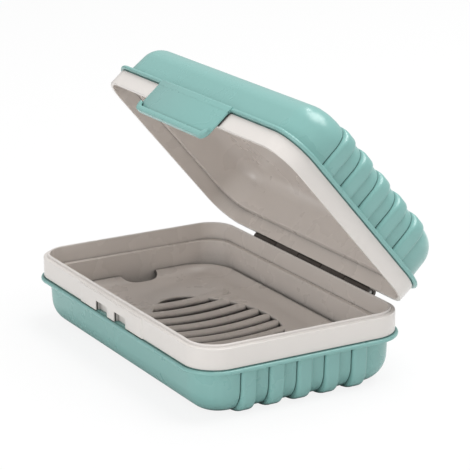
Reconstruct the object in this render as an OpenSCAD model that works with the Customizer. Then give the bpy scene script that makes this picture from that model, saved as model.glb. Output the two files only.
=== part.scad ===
// Travel soap box: a two-tone hinged case with a lift-out draining rack.
// X runs along the hinge, the latch is on the -Y side, and Z = 0 is the base's foot.
// The lid is drawn shut and then swung open about the hinge pin.

/* [Overall] */
// Length along the hinge, over the bands
body_len = 120; // [108:1:140]
// Depth from latch side to hinge side, over the bands
body_dep = 75; // [68:1:90]
// Height of the base, from its foot to the closing line
base_h = 23.6; // [22:0.2:30]
// Height of the lid, from the closing line to its top
lid_h = 22; // [20:0.2:30]
// Angle at which the lid stands open
lid_angle = 50; // [0:1:110]

/* [Walls] */
// Wall of the coloured shells
shell_t = 1.5; // [1.2:0.1:1.8]
// Wall of the inner tubs
liner_t = 1.3; // [1:0.1:1.5]
// Air between a shell and its tub
skin_gap = 0.2; // [0.1:0.05:0.3]
// Mould draft of the side walls, in degrees
draft = 3.2; // [1:0.1:4]

/* [Base shell] */
// Step from the band in to the shell's wall
base_inset = 1.3; // [1:0.1:1.6]
// Plan radius of the wall's corners
base_plan_r = 12; // [11:0.5:14]
// Rounding between wall and foot
base_round = 9; // [6:0.5:10]

/* [Lid shell] */
// Step from the band in to the shell's wall
lid_inset = 1; // [0.9:0.1:1.6]
// Plan radius of the wall's corners
lid_plan_r = 12.5; // [11:0.5:14]
// Rounding between wall and top
lid_round = 8; // [6:0.5:9.5]

/* [Bead round each shell's mouth] */
// Thickness of the bead
bead_h = 1.6; // [1.2:0.1:2]
// How far the bead stands past the band
bead_out = 1.05; // [0.6:0.05:1.1]

/* [Bands and closing line] */
// Height of the base's pale band
base_band_h = 6.8; // [6:0.2:9]
// Height of the lid's pale band
lid_band_h = 5.9; // [5:0.1:8]
// Plan radius of the bands' corners
band_plan_r = 11; // [10:0.5:12.5]
// Height of the lip that enters the lid
lip_h = 0.9; // [0.6:0.1:1.4]
// Thickness of that lip at its top
lip_t = 0.75; // [0.6:0.05:0.9]
// Thickness of the band's share of that lip, outside the tub's
lip_skin = 0.4; // [0.3:0.05:0.5]
// Wall of the lid's rim
rim_t = 1.3; // [1.1:0.1:1.4]
// Thickness of the lid's band, outside the tub's share of the rim
lid_band_t = 0.65; // [0.5:0.05:0.7]
// Air between the lip and the rim, and under the shut lid
close_gap = 0.15; // [0.1:0.05:0.25]
// Depth of the ledge inside the base, below the lip's top
base_ledge = 5.9; // [5:0.1:6.5]
// Height of the ledge inside the lid, above the closing line
lid_ledge = 5.3; // [4.6:0.1:5.4]

/* [Grip ribs on the two ends] */
// Number of ribs on each end
rib_count = 5; // [3:1:5]
// Spacing of the ribs
rib_pitch = 10; // [8:0.5:10.5]
// Width of one rib
rib_w = 5.5; // [4:0.5:7]
// How far a rib stands out of the wall
rib_out = 1.05; // [0.5:0.05:1.4]
// How much tighter a rib turns the corner than the wall does
rib_tighter = 2.5; // [1.5:0.5:3.5]

/* [Hinge] */
// Width over all the knuckles
hinge_w = 73; // [60:1:84]
// Number of knuckles, of which the base has the odd ones
knuckle_count = 5; // [3:2:7]
// Radius of a knuckle
knuckle_r = 1.9; // [1.8:0.1:2.2]
// Radius of the hinge pin
pin_r = 0.8; // [0.6:0.1:1]
// Radial clearance of the pin in its bore
pin_fit = 0.05; // [0.02:0.01:0.08]
// Air between neighbouring knuckles and round them
knuckle_gap = 0.35; // [0.3:0.05:0.5]
// Distance of the pin behind the bands
pin_back = 1.3; // [1.25:0.05:1.6]
// Distance of the pin below the closing line
pin_drop = 0.5; // [0.3:0.1:0.8]

/* [Latch] */
// Width of the latch tongue
tongue_w = 46; // [36:1:60]
// Thickness of the tongue
tongue_t = 1.1; // [0.9:0.1:1.3]
// Gap between the band and the tongue's inner face
tongue_gap = 0.6; // [0.5:0.05:0.8]
// Clearance between the tongue's tip and the base's bead
tongue_tip_gap = 0.4; // [0.3:0.1:1]
// Height of the turned-up finger lip
finger_lip_h = 2.1; // [1.6:0.1:2.6]
// How far the finger lip stands out of the tongue's face
finger_lip_out = 0.85; // [0.6:0.05:1.4]
// Width of the catch plate on the base's band
plate_w = 43.5; // [34:0.5:58]
// How far the catch plate stands out of the band
plate_out = 0.4; // [0.2:0.05:0.45]
// Width of one latch pocket
pocket_w = 8.2; // [6:0.2:10]
// Height of one latch pocket
pocket_h = 3.3; // [3:0.1:3.6]
// Depth of a latch pocket, from the band's face
pocket_d = 1.5; // [1.2:0.1:1.6]
// Width of the bar between the two pockets
pocket_bar = 5; // [3:0.5:8]
// Clearance round a latch lug in its pocket
lug_gap = 0.4; // [0.2:0.05:0.5]

/* [Draining rack] */
// Height of the rack's rim above the foot
rack_top = 11.2; // [10.4:0.1:13]
// Thickness of the rack
rack_t = 1.5; // [1.2:0.1:2]
// Air between the rack and the end walls
rack_gap_x = 0.45; // [0.3:0.05:1]
// Air between the rack and the long walls
rack_gap_y = 1.4; // [0.3:0.1:2]
// Plan radius of the rack's corners
rack_plan_r = 14.5; // [12:0.5:16]
// Width of the raised border
border_w = 6; // [4:0.5:8]
// Height of the border above the plate
border_h = 1.7; // [1:0.1:2.2]
// Length of the slotted window
window_len = 64; // [50:0.5:68]
// How far the window sits from the rack's middle, away from the finger notch
window_off = 3.4; // [2:0.1:4]
// Depth of the slotted window, front to back
window_dep = 39; // [34:1:44]
// Spacing of the bars
bar_pitch = 6.9; // [6:0.1:8]
// Number of bars
bar_count = 9; // [6:1:9]
// Radius of a bar
bar_r = 2.3; // [1.8:0.1:2.6]
// How far the middle of the bars sags below their ends
bar_sag = 1.4; // [0.6:0.1:1.8]
// Length of a bar past the window's edge
bar_tail = 4; // [3:0.5:5]
// Width of the finger notch
notch_w = 14; // [12:0.5:18]
// Depth of the finger notch
notch_d = 6; // [5:0.5:8]
// Radius of a rack foot
foot_r = 1.6; // [1.2:0.1:2]

/* [Hidden] */
$fn = 96;

teal = [0.52, 0.71, 0.69];
stone = [0.87, 0.84, 0.81];
taupe = [0.66, 0.62, 0.59];
steel = [0.75, 0.76, 0.78];

half_len = body_len / 2;
half_dep = body_dep / 2;
// Small overlap by which joined forms run into each other
bite = 0.2;
cut = 1;

// Heights of the base
seat_z = base_h - base_band_h;
lip_z = base_h + lip_h;
base_ledge_z = lip_z - base_ledge;
base_floor_z = shell_t + skin_gap + liner_t;

// Heights of the lid, above its own mouth
lid_seat = lid_band_h;
lid_wall_z = lid_seat + bead_h;
lid_mouth_z = base_h + close_gap;

// Distances in from the band's face
lip_inset = rim_t + close_gap;
lip_back = lip_inset + lip_t;
base_split = lip_inset + lip_skin;
lip_cap = 0.4;
mouth_slope = 0.25;
rebate_inset = 0.85;
rebate_h = 1.05;
rebate_gap = 0.05;
base_well_inset = base_inset + shell_t + skin_gap + liner_t;
lid_well_inset = lid_inset + shell_t + skin_gap + liner_t;

// Locating key between the base's bead and its tub
key_h = 0.5;
key_w = 0.6;
key_inset = 2.05;
key_gap = 0.1;

// Hinge line
pin_y = half_dep + pin_back;
pin_z = base_h - pin_drop;
knuckle_w = (hinge_w - (knuckle_count - 1) * knuckle_gap) / knuckle_count;

// Tongue, measured outwards from the band and up from the lid's mouth
tongue_out = tongue_gap + tongue_t;
tongue_tip = tongue_tip_gap - base_band_h - close_gap;
flex_u = tongue_gap + tongue_t / 2;
flex_v = lid_seat - 0.3 - tongue_t / 2;
finger_wall = 0.5;
pad_edge = 0.5;
lug_nose = 0.5;
lug_lead = 0.4;
tongue_corner = 1.5;

// Rack
rack_plate_z = rack_top - border_h;
rack_wall_inset = base_well_inset + (seat_z - rack_top + rack_t) * tan(draft);
rack_half_x = half_len - rack_wall_inset - rack_gap_x;
rack_half_y = half_dep - rack_wall_inset - rack_gap_y;
bar_end_z = rack_plate_z + 0.15;
bar_drop = bar_r / 2;
bar_arc_r = (pow(window_dep / 2, 2) / bar_sag + bar_sag) / 2;
foot_x = window_len / 2 + foot_r;
foot_y = rack_half_y - border_w - 2 * foot_r;
end_foot_x = rack_half_x - border_w - 3 * foot_r;

// Arcs of the window's oval outline
end_arc_r = window_dep / 4;
end_arc_x = window_len / 2 - end_arc_r;
arc_step = window_dep / 2 - end_arc_r;
side_arc_y = (pow(end_arc_x, 2) - pow(arc_step, 2)) / (2 * arc_step);
side_arc_r = window_dep / 2 + side_arc_y;

// Solid outline of a pan in section. x runs out from the corner's centre and y is the height.
// The wall leans in below the mouth and rounds into the bottom.
module pan_section(r, mouth, bottom, round_r) {
    cy = bottom + round_r;
    cx = r - (round_r + (mouth - cy) * sin(draft)) / cos(draft);
    polygon([
        [0, mouth], [r, mouth],
        [cx + round_r * cos(draft), cy - round_r * sin(draft)],
        [cx, cy], [cx, bottom], [0, bottom]
    ]);
    intersection() {
        translate([cx, cy]) circle(r = round_r);
        translate([cx - bite, bottom]) square([2 * round_r, mouth - bottom]);
    }
}

// Carries a section round a rectangle with rounded corners
module sweep_round(half_x, half_y, r) {
    for (c = [[1, 1, 0], [-1, 1, 90], [-1, -1, 180], [1, -1, 270]])
        translate([c[0] * (half_x - r), c[1] * (half_y - r), 0])
            rotate([0, 0, c[2]])
                rotate_extrude(angle = 90) children();
    for (turn = [0, 180]) {
        rotate([0, 0, turn]) translate([r - half_x, half_y - r, 0])
            rotate([90, 0, 90]) linear_extrude(2 * (half_x - r)) children();
        rotate([0, 0, turn - 90]) translate([r - half_y, half_x - r, 0])
            rotate([90, 0, 90]) linear_extrude(2 * (half_y - r)) children();
    }
}

// Flat plate that fills the middle of a swept pan
module pan_middle(half_x, half_y, low, high) {
    translate([-half_x, -half_y, low]) cube([2 * half_x, 2 * half_y, high - low]);
}

module sweep_band() {
    sweep_round(half_len, half_dep, band_plan_r) children();
}

module sweep_base() {
    sweep_round(half_len - base_inset, half_dep - base_inset, base_plan_r) children();
}

module sweep_lid() {
    sweep_round(half_len - lid_inset, half_dep - lid_inset, lid_plan_r) children();
}

// Section of a bead: a flat strip with a rounded outer edge, standing on y = 0
module bead_section(inset) {
    nose = bead_h / 2;
    translate([band_plan_r - inset, 0]) square([bead_out + inset - nose, bead_h]);
    translate([band_plan_r + bead_out - nose, nose]) circle(r = nose);
}

// Grip ribs on both ends of a pan whose wall stands wall_x from the middle.
// They follow the wall, turn the corner more tightly and run out flush with the bottom.
module grip_ribs(wall_x, mouth, round_r, top) {
    for (side = [0, 1], i = [0:rib_count - 1])
        mirror([side, 0, 0])
            translate([0, (i - (rib_count - 1) / 2) * rib_pitch + rib_w / 2, 0])
                rotate([90, 0, 0]) linear_extrude(rib_w)
                    intersection() {
                        difference() {
                            pan_section(wall_x + rib_out, mouth, 0, round_r - rib_tighter);
                            pan_section(wall_x - shell_t / 2, mouth + cut, shell_t / 2,
                                        round_r - shell_t / 2);
                        }
                        translate([wall_x - round_r - 2 * rib_out, -cut])
                            square([round_r + 4 * rib_out, top + cut]);
                    }
}

// Swings what is drawn shut to the angle at which the lid stands
module opened() {
    translate([0, pin_y, pin_z]) rotate([-lid_angle, 0, 0]) translate([0, -pin_y, -pin_z]) children();
}

// Turns a lid drawn mouth up, as a pan, over onto the base's mouth
module on_mouth() {
    translate([0, 0, lid_mouth_z]) children();
}

// Knuckles first, first + 2 and so on, as one row of cylinders grown by extra
module knuckles(first, extra) {
    for (k = [first:2:knuckle_count - 1])
        translate([k * (knuckle_w + knuckle_gap) - hinge_w / 2 - extra, pin_y, pin_z])
            rotate([0, 90, 0]) cylinder(r = knuckle_r + extra, h = knuckle_w + 2 * extra);
}

// Webs that join the same knuckles to their band. side is -1 for the base and 1 for the lid.
module knuckle_webs(first, side) {
    for (k = [first:2:knuckle_count - 1])
        translate([k * (knuckle_w + knuckle_gap) - hinge_w / 2, half_dep - lid_band_t,
                   pin_z + (side > 0 ? 0 : -knuckle_r)])
            cube([knuckle_w, lid_band_t + pin_back, knuckle_r]);
}

module pin_bore() {
    translate([-hinge_w, pin_y, pin_z]) rotate([0, 90, 0])
        cylinder(r = pin_r + pin_fit, h = 2 * hinge_w);
}

// Coloured outer shell of the base, with its bead, locating key and grip ribs
module base_shell() {
    core_x = half_len - base_inset - base_plan_r;
    core_y = half_dep - base_inset - base_plan_r;
    color(teal) {
        sweep_base() difference() {
            pan_section(base_plan_r, seat_z, 0, base_round);
            pan_section(base_plan_r - shell_t, seat_z + bite, shell_t, base_round - shell_t);
        }
        pan_middle(core_x, core_y, 0, shell_t);
        sweep_band() {
            translate([0, seat_z - bead_h]) bead_section(base_inset + shell_t);
            translate([band_plan_r - key_inset - key_w, seat_z - bite]) square([key_w, key_h + bite]);
        }
        grip_ribs(half_len - base_inset, seat_z, base_round, seat_z - bead_h + bite);
    }
}

// Inner tub of the base: well, ledge and the upstand behind the band
module base_liner() {
    well_r = base_plan_r - shell_t - skin_gap;
    core_x = half_len - base_inset - base_plan_r;
    core_y = half_dep - base_inset - base_plan_r;
    color(taupe) difference() {
        union() {
            sweep_base() difference() {
                union() {
                    pan_section(well_r, seat_z, shell_t + skin_gap, base_round - shell_t - skin_gap);
                    translate([0, seat_z]) square([base_plan_r, base_ledge_z - seat_z]);
                }
                pan_section(well_r - liner_t, base_ledge_z + bite, base_floor_z,
                            base_round - shell_t - skin_gap - liner_t);
            }
            pan_middle(core_x, core_y, shell_t + skin_gap, base_floor_z);
            sweep_band() polygon([
                [band_plan_r - base_split, seat_z], [band_plan_r - base_split, lip_z - lip_cap],
                [band_plan_r - lip_back, lip_z - lip_cap],
                [band_plan_r - lip_back - mouth_slope, base_ledge_z],
                [band_plan_r - base_well_inset + bite, base_ledge_z],
                [band_plan_r - base_well_inset + bite, seat_z]
            ]);
        }
        sweep_band() {
            translate([band_plan_r - base_split, seat_z - cut]) square([2 * base_split, base_band_h + cut]);
            translate([band_plan_r - key_inset - key_w - key_gap, seat_z - cut])
                square([key_w + 2 * key_gap, key_h + key_gap + cut]);
        }
    }
}

// Pale band round the base's mouth: lip, catch plate with two pockets, and hinge knuckles
module base_band() {
    color(stone) difference() {
        union() {
            sweep_band() polygon([
                [band_plan_r, seat_z], [band_plan_r, base_h],
                [band_plan_r - lip_inset, base_h], [band_plan_r - lip_inset, lip_z - lip_t / 3],
                [band_plan_r - lip_inset - lip_t / 3, lip_z], [band_plan_r - lip_back, lip_z],
                [band_plan_r - lip_back, lip_z - lip_cap], [band_plan_r - base_split, lip_z - lip_cap],
                [band_plan_r - base_split, seat_z]
            ]);
            translate([-plate_w / 2, -half_dep - plate_out, seat_z])
                cube([plate_w, plate_out + bite, base_band_h - plate_out]);
            knuckles(0, 0);
            knuckle_webs(0, -1);
        }
        for (side = [-1, 1])
            translate([side * (pocket_bar + pocket_w) / 2 - pocket_w / 2,
                       -half_dep - plate_out - cut, seat_z - cut])
                cube([pocket_w, plate_out + pocket_d + cut, pocket_h + cut]);
        knuckles(1, knuckle_gap);
        pin_bore();
    }
}

// Section of the rack from the corner's centre out: flat plate, then the raised border
module rack_section() {
    low = rack_plate_z - rack_t;
    slope_start = rack_plan_r - border_w;
    lip = border_w / 6;
    polygon([
        [0, low], [slope_start, low], [rack_plan_r - lip, rack_top - rack_t],
        [rack_plan_r, rack_top - rack_t], [rack_plan_r, rack_top],
        [rack_plan_r - lip, rack_top], [slope_start, rack_plate_z], [0, rack_plate_z]
    ]);
}

// Outline of the slotted window: an oval of four arcs that run into each other
module window_outline() {
    join_x = end_arc_x * side_arc_r / (side_arc_r - end_arc_r);
    intersection() {
        translate([0, -side_arc_y]) circle(r = side_arc_r);
        translate([0, side_arc_y]) circle(r = side_arc_r);
        square([2 * join_x, window_dep + cut], center = true);
    }
    for (side = [-1, 1]) translate([side * end_arc_x, 0]) circle(r = end_arc_r);
}

// Half the window's depth at a distance x from its middle
function window_half(x) = sqrt(pow(side_arc_r, 2) - pow(x, 2)) - side_arc_y;

// One sagging bar at a distance x from the middle: round rod with a flat underside, bent to an arc.
// Its two tails are rounded in plan.
module rack_bar(x) {
    reach = window_half(x) + bar_tail - bar_r;
    turn = asin((reach + bar_r + cut) / bar_arc_r);
    translate([x, 0, 0]) intersection() {
        translate([0, 0, bar_end_z + sqrt(pow(bar_arc_r, 2) - pow(window_half(x), 2))])
            rotate([0, 90, 0]) rotate([0, 0, -turn]) rotate_extrude(angle = 2 * turn)
                translate([bar_arc_r + bar_r, 0]) intersection() {
                    circle(r = bar_r);
                    translate([-bar_r, -bar_r]) square([bar_r + bar_drop, 2 * bar_r]);
                }
        linear_extrude(2 * rack_top) {
            square([2 * bar_r + cut, 2 * reach], center = true);
            for (side = [-1, 1]) translate([0, side * reach]) circle(r = bar_r + cut / 2);
        }
    }
}

// Lift-out draining rack: bordered plate, slotted window with sagging bars, feet and finger notch
module drain_rack() {
    low = rack_plate_z - rack_t;
    color(taupe) difference() {
        union() {
            difference() {
                union() {
                    sweep_round(rack_half_x, rack_half_y, rack_plan_r) rack_section();
                    pan_middle(rack_half_x - rack_plan_r, rack_half_y - rack_plan_r, low, rack_plate_z);
                }
                translate([window_off, 0, low - cut]) linear_extrude(rack_t + 2 * cut) window_outline();
            }
            for (i = [0:bar_count - 1])
                translate([window_off, 0, 0]) rack_bar((i - (bar_count - 1) / 2) * bar_pitch);
            for (foot = [[-1, -1], [-1, 1], [1, -1], [1, 1]])
                translate([foot[0] * foot_x, foot[1] * foot_y, base_floor_z])
                    cylinder(r = foot_r, h = low + bite - base_floor_z);
            for (side = [-1, 1])
                translate([side * end_foot_x, 0, base_floor_z])
                    cylinder(r = foot_r, h = low + bite - base_floor_z);
        }
        translate([-rack_half_x - notch_d, -notch_w / 2, low - cut])
            cube([notch_d * 2 - notch_w / 4, notch_w, rack_top]);
        for (side = [-1, 1])
            translate([-rack_half_x + notch_d - notch_w / 4, side * notch_w / 4, low - cut])
                cylinder(r = notch_w / 4, h = rack_top);
        translate([-rack_half_x, -notch_w / 4, low - cut]) cube([notch_d, notch_w / 2, rack_top]);
    }
}

// Steel pin through all the knuckles
module hinge_pin() {
    color(steel) translate([-hinge_w / 2 + knuckle_gap, pin_y, pin_z]) rotate([0, 90, 0])
        cylinder(r = pin_r, h = hinge_w - 2 * knuckle_gap);
}

// Section of the lid's wall, drawn mouth down, for a given plan radius and depth
module lid_section(r, mouth, crown, round_r) {
    mirror([0, 1]) pan_section(r, -mouth, -crown, round_r);
}

// Coloured outer shell of the lid, with its rebated bead, grip ribs and the tongue's root pad
module lid_shell() {
    core_x = half_len - lid_inset - lid_plan_r;
    core_y = half_dep - lid_inset - lid_plan_r;
    wall_low = lid_seat + rebate_h;
    color(teal) opened() on_mouth() {
        sweep_lid() difference() {
            lid_section(lid_plan_r, wall_low, lid_h, lid_round);
            lid_section(lid_plan_r - shell_t, wall_low - bite, lid_h - shell_t, lid_round - shell_t);
        }
        pan_middle(core_x, core_y, lid_h - shell_t, lid_h);
        sweep_band() difference() {
            translate([0, lid_seat]) bead_section(lid_inset + shell_t);
            translate([0, lid_seat - cut]) square([band_plan_r - rebate_inset, rebate_h + cut]);
        }
        translate([0, 0, lid_h]) mirror([0, 0, 1])
            grip_ribs(half_len - lid_inset, lid_h - wall_low, lid_round, lid_h - lid_wall_z + bite);
        translate([-tongue_w / 2, -half_dep, lid_seat]) mirror([0, 1, 0]) rotate([90, 0, 90])
            linear_extrude(tongue_w) {
                square([tongue_out - pad_edge, bead_h]);
                square([tongue_out, bead_h - pad_edge]);
                translate([tongue_out - pad_edge, bead_h - pad_edge]) circle(r = pad_edge);
            }
    }
}

// Inner tub of the lid: the rim's inner half, the ledge plate under the shell and the well
module lid_liner() {
    core_x = half_len - lid_inset - lid_plan_r;
    core_y = half_dep - lid_inset - lid_plan_r;
    well_r = lid_plan_r - shell_t - skin_gap;
    crown = lid_h - shell_t - skin_gap;
    plate_top = lid_seat + rebate_h - rebate_gap;
    plate_edge = band_plan_r - rebate_inset - rebate_gap;
    color(taupe) opened() difference() {
        on_mouth() {
            sweep_lid() difference() {
                union() {
                    lid_section(well_r, plate_top, crown, lid_round - shell_t - skin_gap);
                    translate([0, lid_ledge]) square([lid_plan_r, plate_top - lid_ledge]);
                }
                lid_section(well_r - liner_t, lid_ledge - bite, crown - liner_t,
                            lid_round - shell_t - skin_gap - liner_t);
            }
            pan_middle(core_x, core_y, crown - liner_t, crown);
            sweep_band() polygon([
                [band_plan_r - lid_band_t, 0], [band_plan_r - lid_band_t, lid_seat],
                [plate_edge, lid_seat], [plate_edge, plate_top],
                [band_plan_r - lid_well_inset + bite, plate_top],
                [band_plan_r - lid_well_inset + bite, lid_ledge],
                [band_plan_r - rim_t, lid_ledge], [band_plan_r - rim_t, 0]
            ]);
        }
        knuckles(0, knuckle_gap);
        knuckles(1, 0);
    }
}

// Pale band round the lid's mouth, with the lid's hinge knuckles
module lid_band() {
    color(stone) opened() difference() {
        union() {
            on_mouth() sweep_band() translate([band_plan_r - lid_band_t, 0]) square([lid_band_t, lid_seat]);
            knuckles(1, 0);
            knuckle_webs(1, 1);
        }
        knuckles(0, knuckle_gap);
        pin_bore();
    }
}

// Section of the tongue. x runs out from the band's face and y is the height above the lid's mouth.
module tongue_section() {
    outer = tongue_out + finger_lip_out;
    nose = finger_wall / 2;
    square_top = tongue_tip + finger_lip_h;
    translate([tongue_gap, tongue_tip + nose]) square([tongue_t, flex_v - tongue_tip - nose]);
    translate([flex_u, flex_v]) circle(r = tongue_t / 2);
    translate([tongue_gap + nose, tongue_tip]) square([outer - tongue_gap - 2 * nose, 2 * finger_wall]);
    translate([tongue_gap + nose, tongue_tip + nose]) circle(r = nose);
    translate([outer - nose, tongue_tip + nose]) circle(r = nose);
    translate([outer - finger_wall, tongue_tip + nose]) square([finger_wall, finger_lip_h - finger_wall]);
    translate([outer - nose, square_top - nose]) circle(r = nose);
}

// Section of a latch lug on the tongue's inner face, with a lead-in slope below its catch
module lug_section() {
    catch = pocket_h - base_band_h - close_gap - lug_gap;
    reach = lug_gap - pocket_d;
    polygon([
        [tongue_gap + bite, catch], [reach, catch], [reach, catch - lug_nose],
        [tongue_gap, tongue_tip + lug_lead], [tongue_gap + bite, tongue_tip + lug_lead]
    ]);
}

// Latch tongue: flexes at its root, hooks two lugs into the pockets and ends in a finger lip
module latch_tongue() {
    square_x = tongue_w / 2 - tongue_corner;
    color(teal) opened() on_mouth() translate([0, -half_dep, 0]) {
        intersection() {
            translate([-tongue_w / 2, 0, 0]) mirror([0, 1, 0]) rotate([90, 0, 90])
                linear_extrude(tongue_w) tongue_section();
            translate([0, cut, 0]) rotate([90, 0, 0])
                linear_extrude(tongue_out + finger_lip_out + 2 * cut) {
                    for (side = [-1, 1])
                        translate([side * square_x, tongue_tip + tongue_corner]) circle(r = tongue_corner);
                    translate([-square_x, tongue_tip]) square([2 * square_x, tongue_corner]);
                    translate([-tongue_w / 2, tongue_tip + tongue_corner])
                        square([tongue_w, lid_seat - tongue_tip]);
                }
        }
        for (side = [-1, 1])
            translate([side * (pocket_bar + pocket_w) / 2 - pocket_w / 2 + lug_gap, 0, 0])
                mirror([0, 1, 0]) rotate([90, 0, 90])
                    linear_extrude(pocket_w - 2 * lug_gap) lug_section();
    }
}

base_shell();
base_liner();
base_band();
drain_rack();
hinge_pin();
lid_shell();
lid_liner();
lid_band();
latch_tongue();
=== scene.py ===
import math

import bmesh
import bpy
from mathutils import Matrix, Vector


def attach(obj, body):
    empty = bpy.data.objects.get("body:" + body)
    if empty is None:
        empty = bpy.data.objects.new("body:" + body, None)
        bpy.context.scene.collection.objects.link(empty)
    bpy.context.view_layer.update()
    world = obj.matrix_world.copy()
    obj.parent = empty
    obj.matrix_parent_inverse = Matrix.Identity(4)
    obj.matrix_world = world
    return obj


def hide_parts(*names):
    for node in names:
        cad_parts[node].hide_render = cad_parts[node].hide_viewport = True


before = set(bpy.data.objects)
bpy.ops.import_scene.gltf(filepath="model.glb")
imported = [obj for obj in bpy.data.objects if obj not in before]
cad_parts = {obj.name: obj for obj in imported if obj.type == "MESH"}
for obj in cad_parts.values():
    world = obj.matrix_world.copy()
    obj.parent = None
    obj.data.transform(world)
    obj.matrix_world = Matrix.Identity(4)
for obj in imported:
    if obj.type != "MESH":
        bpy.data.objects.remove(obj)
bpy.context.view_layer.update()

# BASE SHELL
# The teal outer pan of the base: one injection moulding of coloured polypropylene, with a drafted
# wall, a wide rounding into its foot, a half-round bead round its mouth and five grip ribs on each
# end that turn the corner more tightly than the wall and run out flush with the foot.

MM = 0.001
HALF_LEN, HALF_DEP = 60.0, 37.5
BAND_PLAN, BASE_PLAN = 11.0, 13.3
DRAFT = math.tan(math.radians(3.2))
BASE_H, SEAT_Z, WALL = 23.6, 16.8, 1.5
BASE_INSET, BASE_ROUND, BASE_RIB_ROUND = 1.3, 9.0, 6.5
BEAD_H, BEAD_OUT, BEAD_ROUND, BEAD_ROOT = 1.6, 1.05, 0.62, 0.22
CREASE = 0.3
CAP_IN = 20.0
RIB_COUNT, RIB_PITCH, RIB_WIDTH, RIB_OUT, RIB_EDGE = 5, 10.0, 5.5, 1.05, 1.3
GROOVE_NEAR, GROOVE_FAR, GROOVE_SHARE = 0.02, 0.38, 0.35


def soften(corners, turn=9.0):
    """Rounds the corners of an open line of (inset, height, plan, rounding). plan is the radius
    that the corner of the box would have at no inset, so it tells the band's path from the wall's."""
    line = []
    for k, (inset, height, plan, rounding) in enumerate(corners):
        if rounding == 0 or k in (0, len(corners) - 1):
            line.append((inset, height, plan))
            continue
        here = Vector((inset, height))
        back = (Vector(corners[k - 1][:2]) - here).normalized()
        on = (Vector(corners[k + 1][:2]) - here).normalized()
        half = back.angle(on) / 2
        centre = here + (back + on).normalized() * rounding / math.sin(half)
        first = here + back * rounding / math.tan(half) - centre
        swing = math.pi - 2 * half
        if first.x * (here - centre).y - first.y * (here - centre).x < 0:
            swing = -swing
        steps = max(2, math.ceil(abs(math.degrees(swing)) / turn))
        for i in range(steps + 1):
            a = swing * i / steps
            line.append((centre.x + first.x * math.cos(a) - first.y * math.sin(a),
                         centre.y + first.x * math.sin(a) + first.y * math.cos(a), plan))
    return line


def rib_edges():
    """Places along an end wall where the skin needs points: every rib's rounded edges and the
    groove at the foot of its front flank."""
    places = []
    for k in range(RIB_COUNT):
        middle = (k - (RIB_COUNT - 1) / 2) * RIB_PITCH
        places += [middle - RIB_WIDTH / 2 - s
                   for s in (0.5, GROOVE_FAR + 0.02, GROOVE_FAR - 0.02, GROOVE_NEAR + 0.02)]
        for flank in (-1, 1):
            places += [middle + flank * (RIB_WIDTH / 2 - s)
                       for s in (0, 0.05, 0.15, 0.3, 0.5, 0.8, RIB_EDGE)]
    return sorted(places)


def round_box(inset, height, plan, ends=(), arc_steps=14):
    """The loop round the box at a distance in from its bands, as (x, y, z), with points at given
    places along both ends. plan is the radius that its corners would have at no inset."""
    half_x, half_y, radius = HALF_LEN - inset, HALF_DEP - inset, plan - inset
    loop = []
    for quarter in range(4):
        cx = (half_x - radius) * (1, -1, -1, 1)[quarter]
        cy = (half_y - radius) * (1, 1, -1, -1)[quarter]
        for i in range(arc_steps + 1):
            a = math.radians(90 * (quarter + i / arc_steps))
            loop.append((cx + radius * math.cos(a), cy + radius * math.sin(a), height))
        if quarter == 1:
            loop += [(-half_x, y, height) for y in reversed(ends)]
        if quarter == 3:
            loop += [(half_x, y, height) for y in ends]
    return loop


def join_rows(mesh, rows):
    """Faces between rows of the same number of points, each row closed on itself."""
    for low, high in zip(rows, rows[1:]):
        for k in range(len(low)):
            n = (k + 1) % len(low)
            mesh.faces.new((low[k], low[n], high[n], high[k]))


def stand(name, mesh):
    """Turns a mesh that is being drawn into a piece in the scene."""
    data = bpy.data.meshes.new(name)
    mesh.to_mesh(data)
    mesh.free()
    piece = bpy.data.objects.new(name, data)
    bpy.context.scene.collection.objects.link(piece)
    return piece


def skin(name, loops, capped=True, place=lambda p: p):
    """A closed skin through loops of the same number of points: with a flat cap on each end, or
    else with the last loop joined to the first."""
    mesh = bmesh.new()
    rows = [[mesh.verts.new(Vector(place(p)) * MM) for p in loop] for loop in loops]
    join_rows(mesh, rows if capped else rows + rows[:1])
    if capped:
        mesh.faces.new(rows[0])
        mesh.faces.new(rows[-1])
    bmesh.ops.remove_doubles(mesh, verts=mesh.verts, dist=1e-7)
    bmesh.ops.recalc_face_normals(mesh, faces=mesh.faces)
    return stand(name, mesh)


def pan_x(height, wall, mouth, rounding):
    """Distance of a drafted pan's wall from the middle at a height, through its rounding."""
    lean = math.atan(DRAFT)
    centre = wall - (rounding + (mouth - rounding) * math.sin(lean)) / math.cos(lean)
    if height >= rounding - rounding * math.sin(lean):
        return wall - (mouth - height) * DRAFT
    return centre + math.sqrt(max(0.0, rounding ** 2 - (rounding - height) ** 2))


def start_tree(name, form, count, lengths, result):
    """A Geometry Nodes tree that asks for a form, a count, some lengths and a plastic by name."""
    tree = bpy.data.node_groups.new(name, "GeometryNodeTree")
    ask = tree.interface.new_socket
    ask(form, in_out="INPUT", socket_type="NodeSocketGeometry")
    ask(count, in_out="INPUT", socket_type="NodeSocketInt")
    for length in lengths:
        ask(length, in_out="INPUT", socket_type="NodeSocketFloat")
    ask("Plastic", in_out="INPUT", socket_type="NodeSocketMaterial")
    ask(result, in_out="OUTPUT", socket_type="NodeSocketGeometry")
    return tree, tree.nodes.new("NodeGroupInput").outputs


def end_tree(tree, shape, plastic):
    """Ends a tree with one plain mesh in one plastic."""
    real = tree.nodes.new("GeometryNodeRealizeInstances")
    finish = tree.nodes.new("GeometryNodeSetMaterial")
    done = tree.nodes.new("NodeGroupOutput")
    tree.links.new(shape, real.inputs[0])
    tree.links.new(real.outputs[0], finish.inputs["Geometry"])
    tree.links.new(plastic, finish.inputs["Material"])
    tree.links.new(finish.outputs[0], done.inputs[0])
    return tree


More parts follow.
